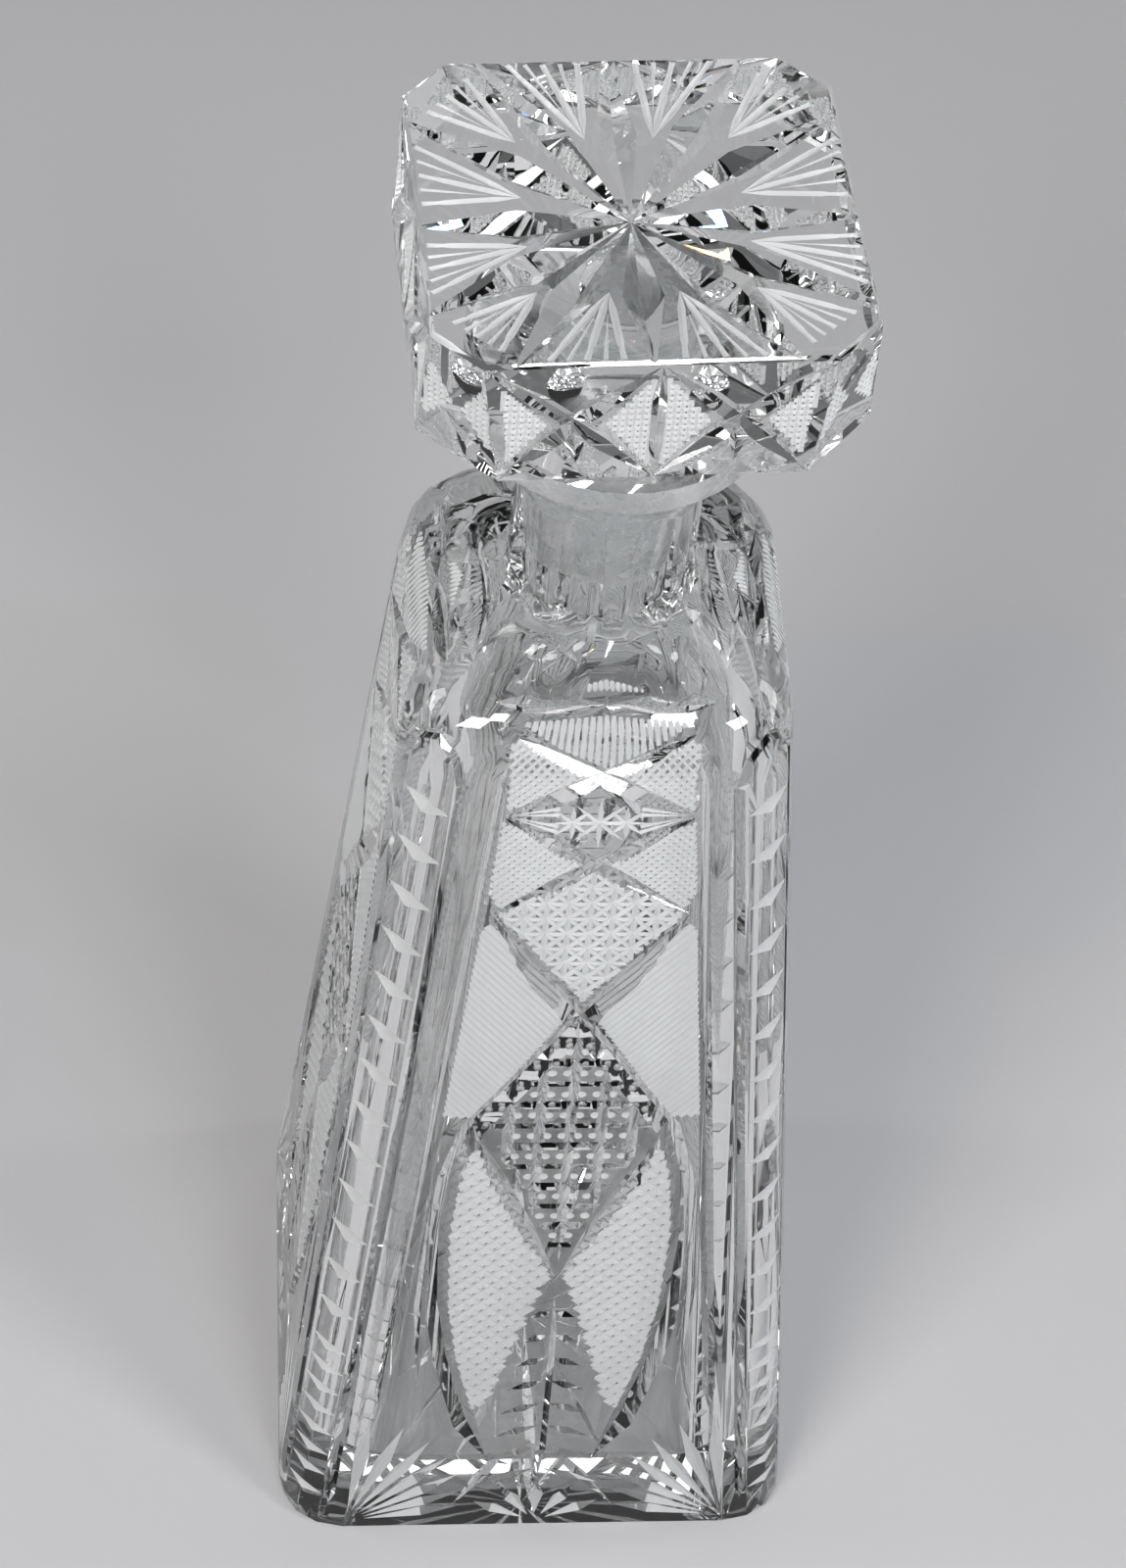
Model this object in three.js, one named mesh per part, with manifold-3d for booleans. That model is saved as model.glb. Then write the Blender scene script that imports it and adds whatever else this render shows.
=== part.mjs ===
// Cut glass decanter: a hollow square bottle and the solid block stopper ground to fit its neck.
// Millimetres, +Z up, origin at the middle of the foot, front face towards -Y.
import * as THREE from 'three';
import Module from 'manifold-3d';

const wasm = await Module();
wasm.setup();

// Bottle body: a tapered square with rounded corners, under a full shoulder
const BASE_WIDTH = 85;
const BASE_CORNER_CUT = 10.5;
const SHOULDER_WIDTH = 53.5;
const SHOULDER_CORNER_CUT = 11.6;
const SHOULDER_START = 180;
const SHOULDER_RISE = 11;
const SHOULDER_FULLNESS = 2.6;
const CORNER_BULGE = 3.2;
const PANEL_MARGIN = 3;
const FOOT_BEVEL = 1.6;
const WALL = 6.2;
const BASE_THICKNESS = 13;
const ROOM_CORNER_SHARE = 0.42;
const ROOM_FLOOR_RISE = 4.5;

// Neck and lip
const NECK_WALL = 2.02;
const NECK_SPREAD = 2.4;
const NECK_FILLET = 4.5;
const NECK_LENGTH = 21.5;
const LIP_RADIUS = 20.5;
const LIP_FLARE = 12.5;
const LIP_BAND = 4.5;
const LIP_EDGE = 0.8;
const MOUTH_FLARE = 1.6;

// Stopper: a square block over a ground, tapered shank
const BLOCK_TOP_WIDTH = 55;
const BLOCK_BOTTOM_WIDTH = 57;
const BLOCK_TOP_CUT = 5.8;
const BLOCK_BOTTOM_CUT = 9.3;
const BLOCK_THICKNESS = 19;
const BLOCK_LIFT = 10.3;
const BLOCK_EDGE = 0.5;
const SHANK_ROOT_RADIUS = 11.5;
const SHANK_TOP_RADIUS = 9.4;
const SHANK_END_RADIUS = 7.4;
const SHANK_LENGTH = 28;
const SHANK_END_EDGE = 0.8;
const SHANK_FIT = 0.08;
const STOPPER_TURN = 3;

// Depths of the wheel cuts
const MAIN_DEPTH = 1.7;
const DIAMOND_DEPTH = 1.3;
const BORDER_DEPTH = 0.9;
const FEATHER_DEPTH = 0.8;
const FAN_DEPTH = 1.1;
const RUNG_DEPTH = 1.4;
const CANE_DEPTH = 0.8;
const BASE_STAR_DEPTH = 1;
const STAR_DEPTH = 2;
const STAR_FAN_DEPTH = 0.4;
const BLOCK_SIDE_DEPTH = 1.1;
const FLUTE_DEPTH = 1.3;
const LENS_DEPTH = 1.25;
const FINE_RUNG_DEPTH = 1;

// Wheel shapes: half width of a V cut for each millimetre of depth, and radius of a round cut
const V_SLOPE = 1.15;
const STAR_SLOPE = 1.3;
const FLUTE_WHEEL = 8;
const FLUTE_TURN = 4;

// Counts of cuts and of steps round a section
const FLUTES_PER_SIDE = 2;
const BASE_STAR_RAYS = 16;
const FAN_RAYS = 7;
const FOOT_FAN_RAYS = 5;
const FEATHERS = 8;
const COARSE_RUNGS = 13;
const FINE_RUNGS = 8;
const LONG_SIDE_STEPS = 6;
const SHORT_SIDE_STEPS = 4;
const RING_POINTS = 4 * (LONG_SIDE_STEPS + SHORT_SIDE_STEPS);
const LONG_SIDE_ANGLE = (LONG_SIDE_STEPS / 2) * (360 / RING_POINTS);

// A cutter stands this far above the surface, and its ends stop this far short of it
const RISE = 1;
const RUN_OUT = 0.02;

// Radii and heights that follow from the sizes above
const NECK_RADIUS = SHANK_TOP_RADIUS + SHANK_FIT + NECK_WALL + FLUTE_DEPTH;
const NECK_FOOT_RADIUS = NECK_RADIUS + NECK_SPREAD;
const BORE_RADIUS = SHANK_END_RADIUS + SHANK_FIT;
const MOUTH_RADIUS = SHANK_TOP_RADIUS + SHANK_FIT;
const PANEL_HEIGHT = SHOULDER_START - PANEL_MARGIN;
const NECK_FOOT = SHOULDER_START + SHOULDER_RISE;
const NECK_TOP = NECK_FOOT + NECK_LENGTH;
const LIP_UNDER = NECK_TOP + LIP_FLARE;
const LIP_TOP = LIP_UNDER + LIP_BAND;
const SHANK_TOP = LIP_TOP - MOUTH_FLARE;
const SHANK_END = SHANK_TOP - SHANK_LENGTH;
const BLOCK_UNDER = LIP_TOP + BLOCK_LIFT;

const UP = new THREE.Vector3(0, 0, 1);
const SIDES = [0, 90, 180, 270];
const mix = (a, b, t) => a + (b - a) * t;
const radians = (angle) => (angle * Math.PI) / 180;
const steps = (count) => Array.from({ length: count }, (_, k) => k);

const halfAt = (z) => mix(BASE_WIDTH, SHOULDER_WIDTH, z / SHOULDER_START) / 2;
const cutAt = (z) => mix(BASE_CORNER_CUT, SHOULDER_CORNER_CUT, z / SHOULDER_START);
const flatAt = (z) => halfAt(z) - cutAt(z);

// A closed surface through rings with the same number of points, capped at both ends
function loft(rings) {
  const count = rings[0].length;
  const last = rings.length - 1;
  const middle = (ring) => ring.reduce((sum, p) => sum.add(p), new THREE.Vector3()).divideScalar(count);
  const points = [...rings.flat(), middle(rings[0]), middle(rings[last])];
  const index = [];
  for (let k = 0; k < count; k += 1) {
    const next = (k + 1) % count;
    for (let r = 0; r < last; r += 1) {
      const a = r * count + k;
      const b = r * count + next;
      index.push(a, b, b + count, a, b + count, a + count);
    }
    index.push(points.length - 2, next, k);
    index.push(points.length - 1, last * count + k, last * count + next);
  }
  const geometry = new THREE.BufferGeometry().setFromPoints(points);
  geometry.setIndex(index);
  return geometry;
}

// Six times the volume, negative where the faces point inwards
function enclosed(vertices, triangles) {
  const [a, b, c] = steps(3).map(() => new THREE.Vector3());
  let sum = 0;
  for (let i = 0; i < triangles.length; i += 3) {
    a.fromArray(vertices, triangles[i] * 3);
    b.fromArray(vertices, triangles[i + 1] * 3);
    c.fromArray(vertices, triangles[i + 2] * 3);
    sum += a.dot(b.cross(c));
  }
  return sum;
}

function solid(geometry) {
  const vertProperties = new Float32Array(geometry.attributes.position.array);
  const triVerts = new Uint32Array(geometry.index.array);
  if (enclosed(vertProperties, triVerts) < 0) {
    triVerts.reverse();
  }
  return new wasm.Manifold(new wasm.Mesh({ numProp: 3, vertProperties, triVerts }));
}

function geometryOf(cut) {
  const mesh = cut.getMesh();
  const geometry = new THREE.BufferGeometry();
  geometry.setAttribute('position', new THREE.BufferAttribute(mesh.vertProperties, 3));
  geometry.setIndex(new THREE.BufferAttribute(mesh.triVerts, 1));
  return geometry;
}

const cutAway = (blank, cutters) => cutters.reduce((left, cutter) => left.subtract(cutter), blank);

// The shoulder bends from the wall over to the neck: v runs on past SHOULDER_START along that bend
const BEND_LENGTH = (SHOULDER_RISE * Math.PI) / 2;

function bendAt(v) {
  const angle = Math.max(0, ((v - SHOULDER_START) / BEND_LENGTH) * (Math.PI / 2));
  const full = (part) => Math.max(0, part) ** (2 / SHOULDER_FULLNESS);
  const z = angle > 0 ? SHOULDER_START + SHOULDER_RISE * full(Math.sin(angle)) : v;
  return { z, share: 1 - full(Math.cos(angle)) };
}

// Points round the section at v: s runs from -1 to 1 across a face, or round a corner
function faceSkin(turn) {
  return (s, v) => {
    const { z, share } = bendAt(v);
    const angle = radians(LONG_SIDE_ANGLE * s);
    const x = mix(s * flatAt(z), NECK_FOOT_RADIUS * Math.sin(angle), share);
    const y = mix(halfAt(z), NECK_FOOT_RADIUS * Math.cos(angle), share);
    return new THREE.Vector3(x, -y, z).applyAxisAngle(UP, radians(turn));
  };
}

function cornerSkin(turn) {
  return (s, v) => {
    const { z, share } = bendAt(v);
    const angle = radians((45 - LONG_SIDE_ANGLE) * s);
    const reach = (2 * halfAt(z) - cutAt(z)) / Math.SQRT2 + CORNER_BULGE * (1 - s * s);
    const x = mix((s * cutAt(z)) / Math.SQRT2, NECK_FOOT_RADIUS * Math.sin(angle), share);
    const y = mix(reach, NECK_FOOT_RADIUS * Math.cos(angle), share);
    return new THREE.Vector3(x, -y, z).applyAxisAngle(UP, radians(turn + 45));
  };
}

function bodyRing(v) {
  return SIDES.flatMap((turn) => [
    ...steps(LONG_SIDE_STEPS).map((k) => faceSkin(turn)((2 * k) / LONG_SIDE_STEPS - 1, v)),
    ...steps(SHORT_SIDE_STEPS).map((k) => cornerSkin(turn)((2 * k) / SHORT_SIDE_STEPS - 1, v)),
  ]);
}

// Points on a circle in step with those of bodyRing
function roundRing(radius, z) {
  return steps(RING_POINTS).map((k) => {
    const angle = radians((k * 360) / RING_POINTS - LONG_SIDE_ANGLE);
    return new THREE.Vector3(radius * Math.sin(angle), -radius * Math.cos(angle), z);
  });
}

const blend = (ringA, ringB, t) => ringA.map((point, k) => point.clone().lerp(ringB[k], t));

function inset(ring, distance) {
  const reach = ring[LONG_SIDE_STEPS / 2].length();
  return ring.map((point) => new THREE.Vector3(point.x, point.y, 0).multiplyScalar(1 - distance / reach));
}

function bottleBlank() {
  const foot = inset(bodyRing(0), FOOT_BEVEL);
  const bend = [0, 0.2, 0.4, 0.6, 0.8, 1].map((t) => bodyRing(SHOULDER_START + BEND_LENGTH * t));
  return solid(
    loft([
      foot,
      bodyRing(FOOT_BEVEL),
      ...bend,
      roundRing(mix(NECK_FOOT_RADIUS, NECK_RADIUS, 0.7), NECK_FOOT + NECK_FILLET * 0.35),
      roundRing(NECK_RADIUS, NECK_FOOT + NECK_FILLET),
      roundRing(NECK_RADIUS, NECK_TOP),
      roundRing(mix(NECK_RADIUS, LIP_RADIUS, 0.4), NECK_TOP + LIP_FLARE * 0.55),
      roundRing(LIP_RADIUS - LIP_EDGE, LIP_UNDER - LIP_EDGE),
      roundRing(LIP_RADIUS, LIP_UNDER),
      roundRing(LIP_RADIUS, LIP_TOP - LIP_EDGE),
      roundRing(LIP_RADIUS - LIP_EDGE, LIP_TOP),
    ])
  );
}

// The blown hollow: a softly square room that closes in to the ground bore of the neck
const ROOM_TOP = SHOULDER_START - WALL * 0.4;
const BORE_START = NECK_FOOT + 1;
const DOME_ANGLES = [0, 20, 40, 60, 78];
const FLOOR_STEPS = [
  [0, 0.82],
  [0.27, 0.93],
  [1, 1],
];

function roomRing(z, scale) {
  const half = (halfAt(z) - WALL) * scale;
  const flat = half * (1 - ROOM_CORNER_SHARE);
  const quarter = (turn) => {
    const face = steps(LONG_SIDE_STEPS).map((k) => [mix(-flat, flat, k / LONG_SIDE_STEPS), -half]);
    const corner = steps(SHORT_SIDE_STEPS).map((k) => {
      const angle = radians((90 * k) / SHORT_SIDE_STEPS);
      const round = half - flat;
      return [flat + round * Math.sin(angle), -flat - round * Math.cos(angle)];
    });
    return [...face, ...corner].map(([x, y]) => new THREE.Vector3(x, y, z).applyAxisAngle(UP, radians(turn)));
  };
  return SIDES.flatMap(quarter);
}

function hollow() {
  const floor = FLOOR_STEPS.map(([t, scale]) => roomRing(BASE_THICKNESS + ROOM_FLOOR_RISE * t, scale));
  const dome = DOME_ANGLES.map((angle) => {
    const z = mix(ROOM_TOP, BORE_START, Math.sin(radians(angle)));
    return blend(roomRing(z, 1), roundRing(BORE_RADIUS, z), 1 - Math.cos(radians(angle)));
  });
  return solid(
    loft([
      ...floor,
      ...dome,
      roundRing(BORE_RADIUS, BORE_START + 1),
      roundRing(BORE_RADIUS, SHANK_END),
      roundRing(MOUTH_RADIUS, SHANK_TOP),
      roundRing(MOUTH_RADIUS + MOUTH_FLARE, LIP_TOP),
      roundRing(MOUTH_RADIUS + MOUTH_FLARE, LIP_TOP + RISE),
    ])
  );
}

// Outward normal of a skin at a place on it
function outward(skin, u, v) {
  const small = 0.01;
  const across = skin(u + small, v).sub(skin(u - small, v));
  const along = skin(u, v + small).sub(skin(u, v - small));
  return across.cross(along).normalize();
}

// Sections of a cutter as [sideways, up from the surface], sunk by a depth
const vSection = (slope) => (depth) => [
  [0, -depth],
  [(depth + RISE) * slope, RISE],
  [-(depth + RISE) * slope, RISE],
];

const ROUND_STEPS = 5;
const roundSection = (wheel) => (depth) => {
  const widest = Math.acos(1 - (depth + RISE) / wheel);
  return steps(ROUND_STEPS + 1).map((k) => {
    const angle = mix(-widest, widest, k / ROUND_STEPS);
    return [wheel * Math.sin(angle), wheel * (1 - Math.cos(angle)) - depth];
  });
};

// One wheel cut: stations of a point and its normal, and full depth at all but the two ends
function wheelCut(stations, depth, section) {
  const last = stations.length - 1;
  const rings = stations.map(({ point, normal }, i) => {
    const ahead = stations[Math.min(i + 1, last)].point;
    const behind = stations[Math.max(i - 1, 0)].point;
    const side = ahead.clone().sub(behind).cross(normal).normalize();
    const deep = i === 0 || i === last ? -RUN_OUT : depth;
    return section(deep).map(([across, up]) =>
      point.clone().addScaledVector(side, across).addScaledVector(normal, up)
    );
  });
  return solid(loft(rings));
}

function cutAlong(skin, path, depth, slope = V_SLOPE) {
  const stations = path.map(([u, v]) => ({ point: skin(u, v), normal: outward(skin, u, v) }));
  return wheelCut(stations, depth, vSection(slope));
}

// A straight cut that reaches its full depth at the given shares of its length
function mitre(skin, from, to, depth, full = [0.3, 0.7], slope = V_SLOPE) {
  const path = [0, ...full, 1].map((t) => [mix(from[0], to[0], t), mix(from[1], to[1], t)]);
  return cutAlong(skin, path, depth, slope);
}

// The panel of a face. Widths are shares of the flat between the corners, heights are shares of PANEL_HEIGHT
const WINGS = [
  [0.93, 1.052],
  [0.86, 0.974],
  [0.79, 0.862],
  [0.66, 0.595],
];
const DIAMOND_FOOT = 0.388;
const OVAL = [
  [0.75, 0.53],
  [0.76, 0.45],
  [0.69, 0.345],
  [0.59, 0.265],
  [0.43, 0.17],
  [0.28, 0.115],
];
const SHOULDER_LENS = [1.4, 1.0745, 1.078];
const SPINE = [0.365, 0.09];
const LEAF_REACH = [3.5, 10];
const LEAF_SLANT = 0.42;
const CANE_TOP = 0.735;
const CANE_FOOT = 0.41;
const CANE_PITCH = 4.6;
const CANE_INSET = 0.86;
const CANE_ROWS = 5;

const panel = (side, [s, share]) => [side * s, share * PANEL_HEIGHT];
const onFace = ([x, z]) => [x / flatAt(z), z];

function crossings(skin) {
  return [-1, 1].flatMap((side) => [
    mitre(skin, panel(side, WINGS[0]), panel(-side, WINGS[1]), DIAMOND_DEPTH),
    mitre(skin, panel(side, WINGS[1]), panel(-side, WINGS[2]), DIAMOND_DEPTH),
    cutAlong(
      skin,
      [panel(-side, WINGS[2]), panel(-side * 0.4, [1, 0.795]), ...[WINGS[3], ...OVAL].map((p) => panel(side, p))],
      MAIN_DEPTH
    ),
    mitre(skin, panel(side, WINGS[3]), panel(0, [0, DIAMOND_FOOT]), DIAMOND_DEPTH),
    mitre(
      skin,
      panel(side, [SHOULDER_LENS[0], SHOULDER_LENS[1]]),
      panel(0, [0, SHOULDER_LENS[2]]),
      DIAMOND_DEPTH,
      [0.35, 0.65]
    ),
  ]);
}

// The part of a straight line that lies inside a convex outline, or null
function clipped(outline, from, to) {
  let [enter, leave] = [0, 1];
  for (let k = 0; k < outline.length; k += 1) {
    const [ax, ay] = outline[k];
    const [bx, by] = outline[(k + 1) % outline.length];
    const inside = ([x, y]) => (bx - ax) * (y - ay) - (by - ay) * (x - ax);
    const [start, end] = [inside(from), inside(to)];
    if (start < 0 && end < 0) {
      return null;
    }
    const meet = start / (start - end);
    if (start < 0) {
      enter = Math.max(enter, meet);
    } else if (end < 0) {
      leave = Math.min(leave, meet);
    }
  }
  const at = (t) => [mix(from[0], to[0], t), mix(from[1], to[1], t)];
  return leave > enter ? [at(enter), at(leave)] : null;
}

function caneCuts(skin) {
  const wing = WINGS[3][0] * flatAt(WINGS[3][1] * PANEL_HEIGHT) * CANE_INSET;
  const [top, middle, foot] = [CANE_TOP, WINGS[3][1], CANE_FOOT].map((share) => share * PANEL_HEIGHT);
  const outline = [
    [0, foot],
    [wing, middle],
    [0, top],
    [-wing, middle],
  ];
  const columns = [-2, -1, 0, 1, 2].map((k) => [
    [k * CANE_PITCH, foot],
    [k * CANE_PITCH, top],
  ]);
  const rows = steps(CANE_ROWS).map((k) => {
    const z = mix(foot, top, (k + 1) / (CANE_ROWS + 1));
    return [
      [-wing, z],
      [wing, z],
    ];
  });
  return [...columns, ...rows]
    .map(([from, to]) => clipped(outline, from, to))
    .map(([from, to]) => mitre(skin, onFace(from), onFace(to), CANE_DEPTH, [0.15, 0.85]));
}

function featherCuts(skin) {
  const [top, foot] = SPINE.map((share) => share * PANEL_HEIGHT);
  const leaves = steps(FEATHERS).flatMap((k) =>
    [-1, 1].map((side) => {
      const z = mix(top, foot, (k + 0.7) / FEATHERS);
      const reach = mix(...LEAF_REACH, k / (FEATHERS - 1));
      const tip = onFace([side * reach, z - reach * LEAF_SLANT]);
      return mitre(skin, onFace([side * 0.5, z]), tip, FEATHER_DEPTH, [0.45]);
    })
  );
  return [mitre(skin, [0, top], [0, foot], FEATHER_DEPTH, [0.2, 0.85]), ...leaves];
}

// Rays from an apex on the face, as [first angle, last angle], starting a little away from it
function fan(skin, apex, rays, [first, last], start, reach) {
  return steps(rays).map((k) => {
    const t = k / (rays - 1);
    const angle = radians(mix(first, last, t));
    const at = (r) => onFace([apex[0] + r * Math.cos(angle), apex[1] + r * Math.sin(angle)]);
    return mitre(skin, at(start), at(reach(t)), FAN_DEPTH, [0.6]);
  });
}

const CORNER_FAN_ANGLES = [97, 168];
const CORNER_FAN_REACH = [30, 19];
const CORNER_FAN_START = 3;
const MIDDLE_FAN_ANGLES = [30, 150];
const MIDDLE_FAN_REACH = 12;
const MIDDLE_FAN_START = 2;

function footFans(skin) {
  const apex = [flatAt(0) - 0.5, FOOT_BEVEL + 1.5];
  const reach = (t) => mix(...CORNER_FAN_REACH, t);
  const mirrored = CORNER_FAN_ANGLES.map((angle) => 180 - angle);
  const middle = [0, FOOT_BEVEL + 0.8];
  return [
    ...fan(skin, apex, FAN_RAYS, CORNER_FAN_ANGLES, CORNER_FAN_START, reach),
    ...fan(skin, [-apex[0], apex[1]], FAN_RAYS, mirrored, CORNER_FAN_START, reach),
    ...fan(skin, middle, FOOT_FAN_RAYS, MIDDLE_FAN_ANGLES, MIDDLE_FAN_START, () => MIDDLE_FAN_REACH),
  ];
}

// Upright cuts on the face: a border line beside the corner, and a leaning lens lower down
const BORDER_INSET = 1.9;
const BORDER_ENDS = [0.19, 1.03];
const LENS_INSETS = [3.2, 7.5];
const LENS_ENDS = [0.53, 0.22];

function borderCuts(skin) {
  return [-1, 1].flatMap((side) => {
    const beside = (insetBy, share) => {
      const z = share * PANEL_HEIGHT;
      return [side * (1 - insetBy / flatAt(z)), z];
    };
    const [lensTop, lensFoot] = LENS_ENDS.map((share, k) => beside(LENS_INSETS[k], share));
    const [foot, top] = BORDER_ENDS.map((share) => beside(BORDER_INSET, share));
    return [
      mitre(skin, foot, top, BORDER_DEPTH, [0.04, 0.97]),
      mitre(skin, lensTop, lensFoot, LENS_DEPTH, [0.5]),
    ];
  });
}

// A corner: an arched border with rungs inside it, wide apart above and close below
const ARCH_SHARE = 0.66;
const ARCH = [
  [1, 0.995],
  [0.72, 1.02],
  [0, 1.032],
];
const ARCH_FOOT = 5;
const ARCH_RUN_IN = 4;
const RUNG_SHARE = 0.5;
const RUNGS_TOP = 0.965;
const RUNGS_CHANGE = 0.27;
const RUNGS_FOOT = 0.055;

function cornerCuts(skin) {
  const foot = FOOT_BEVEL + ARCH_FOOT;
  const arm = ARCH.map(([s, share]) => [s * ARCH_SHARE, share * PANEL_HEIGHT]);
  const border = [
    [ARCH_SHARE, foot],
    [ARCH_SHARE, foot + ARCH_RUN_IN],
    ...arm,
    ...[arm[1], arm[0]].map(([s, v]) => [-s, v]),
    [-ARCH_SHARE, foot + ARCH_RUN_IN],
    [-ARCH_SHARE, foot],
  ];
  const change = PANEL_HEIGHT * RUNGS_CHANGE;
  const heights = [
    ...steps(COARSE_RUNGS).map((k) => mix(PANEL_HEIGHT * RUNGS_TOP, change, k / COARSE_RUNGS)),
    ...steps(FINE_RUNGS).map((k) => mix(change, PANEL_HEIGHT * RUNGS_FOOT, k / (FINE_RUNGS - 1))),
  ];
  const rungs = heights.map((z) =>
    mitre(skin, [-RUNG_SHARE, z], [RUNG_SHARE, z], z > change ? RUNG_DEPTH : FINE_RUNG_DEPTH, [0.5])
  );
  return [cutAlong(skin, border, BORDER_DEPTH), ...rungs];
}

// A flute runs down the neck and out over the shoulder of a face, at an angle from its middle
const FLUTE_BEND = [0.9, 0.72, 0.56];

function fluteCut(turn, angle) {
  const round = [
    [mix(NECK_RADIUS, LIP_RADIUS, 0.4), NECK_TOP + LIP_FLARE * 0.55, 1],
    [NECK_RADIUS + 0.3, NECK_TOP, 0.2],
    [NECK_RADIUS, NECK_FOOT + NECK_FILLET + 1, 0],
    [mix(NECK_FOOT_RADIUS, NECK_RADIUS, 0.6), NECK_FOOT + NECK_FILLET * 0.35, -1],
  ];
  const onNeck = round.map(([radius, z, lean]) => {
    const turned = (vector) => vector.applyAxisAngle(UP, radians(turn + angle));
    return {
      point: turned(new THREE.Vector3(0, -radius, z)),
      normal: turned(new THREE.Vector3(0, -1, -lean).normalize()),
    };
  });
  const skin = faceSkin(turn);
  const share = angle / LONG_SIDE_ANGLE;
  const onShoulder = FLUTE_BEND.map((t) => {
    const v = SHOULDER_START + BEND_LENGTH * t;
    return { point: skin(share, v), normal: outward(skin, share, v) };
  });
  return wheelCut([...onNeck, ...onShoulder], FLUTE_DEPTH, roundSection(FLUTE_WHEEL));
}

function starRays(skin, ends, depth, slope, deepest) {
  return ends.map((end) => mitre(skin, [0, 0], end, depth, [deepest], slope));
}

const BASE_STAR_MARGIN = 5;

function baseStar() {
  const underside = (u, v) => new THREE.Vector3(-u, v, 0);
  const reach = BASE_WIDTH / 2 - FOOT_BEVEL - BASE_STAR_MARGIN;
  const ends = steps(BASE_STAR_RAYS).map((k) => {
    const angle = radians((k * 360) / BASE_STAR_RAYS);
    return [reach * Math.cos(angle), reach * Math.sin(angle)];
  });
  return starRays(underside, ends, BASE_STAR_DEPTH, V_SLOPE, 0.6);
}

function bottleCuts() {
  const faceCuts = SIDES.flatMap((turn) => {
    const skin = faceSkin(turn);
    return [crossings, caneCuts, featherCuts, footFans, borderCuts].flatMap((kind) => kind(skin));
  });
  const corners = SIDES.flatMap((turn) => cornerCuts(cornerSkin(turn)));
  const fluteStep = 90 / FLUTES_PER_SIDE;
  const fluteAngles = steps(FLUTES_PER_SIDE).map((k) => (k + 0.5) * fluteStep - 45 + FLUTE_TURN);
  const flutes = SIDES.flatMap((turn) => fluteAngles.map((angle) => fluteCut(turn, angle)));
  return [...faceCuts, ...corners, ...flutes, ...baseStar()];
}

// The stopper stands in its own frame, its block's underside at z = 0
const blockHalfAt = (z) => mix(BLOCK_BOTTOM_WIDTH, BLOCK_TOP_WIDTH, z / BLOCK_THICKNESS) / 2;
const blockCutAt = (z) => mix(BLOCK_BOTTOM_CUT, BLOCK_TOP_CUT, z / BLOCK_THICKNESS);
const blockFlatAt = (z) => blockHalfAt(z) - blockCutAt(z);

function blockRing(z, insetBy) {
  const half = blockHalfAt(z) - insetBy;
  const flat = half - blockCutAt(z);
  return SIDES.flatMap((turn) =>
    [-flat, flat].map((x) => new THREE.Vector3(x, -half, z).applyAxisAngle(UP, radians(turn)))
  );
}

function stopperBlank() {
  const block = loft([
    blockRing(0, BLOCK_EDGE),
    blockRing(BLOCK_EDGE, 0),
    blockRing(BLOCK_THICKNESS - BLOCK_EDGE, 0),
    blockRing(BLOCK_THICKNESS, BLOCK_EDGE),
  ]);
  const shankTop = SHANK_TOP - BLOCK_UNDER;
  const shankEnd = SHANK_END - BLOCK_UNDER;
  const shank = loft([
    roundRing(SHANK_END_RADIUS - SHANK_END_EDGE, shankEnd),
    roundRing(SHANK_END_RADIUS, shankEnd + SHANK_END_EDGE),
    roundRing(SHANK_TOP_RADIUS, shankTop),
    roundRing(SHANK_TOP_RADIUS, shankTop * 0.55),
    roundRing(mix(SHANK_TOP_RADIUS, SHANK_ROOT_RADIUS, 0.35), shankTop * 0.2),
    roundRing(SHANK_ROOT_RADIUS, 0),
    roundRing(SHANK_ROOT_RADIUS, BLOCK_EDGE * 2),
  ]);
  return solid(block).add(solid(shank));
}

// Twelve rays: one to the middle of each side and two beside each corner, with a fan of fine cuts between
const RAY_SHARE = 0.63;
const FAN_START = 0.5;
const FAN_END = 0.97;
const STAR_SHIFT = [-1.2, -3];
const STAR_OVERRUN = 1.06;

function topStar() {
  const half = BLOCK_TOP_WIDTH / 2;
  const shifted = (a, by) => a + by * Math.max(0, 1 - Math.abs(a) / half);
  const top = (x, y) => new THREE.Vector3(shifted(x, STAR_SHIFT[0]), shifted(y, STAR_SHIFT[1]), BLOCK_THICKNESS);
  const ends = SIDES.flatMap((turn) =>
    [-RAY_SHARE, 0, RAY_SHARE].map((share) => {
      const end = new THREE.Vector3(share * half, -half, 0).applyAxisAngle(UP, radians(turn));
      return [end.x, end.y];
    })
  );
  const fans = ends.flatMap((end, i) => {
    const next = ends[(i + 1) % ends.length];
    const corner = i % 3 === 2;
    const apex = [(end[0] + next[0]) / 2, (end[1] + next[1]) / 2].map((x) => x * (corner ? 0.6 : FAN_START));
    return [0.22, 0.5, 0.78].map((t) => {
      const out = [mix(end[0], next[0], t), mix(end[1], next[1], t)].map((x) => x * FAN_END);
      return mitre(top, apex, out, STAR_FAN_DEPTH, [0.5], V_SLOPE);
    });
  });
  const overrun = ends.map((end) => end.map((x) => x * STAR_OVERRUN));
  return [...starRays(top, overrun, STAR_DEPTH, STAR_SLOPE, 0.5), ...fans];
}

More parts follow.
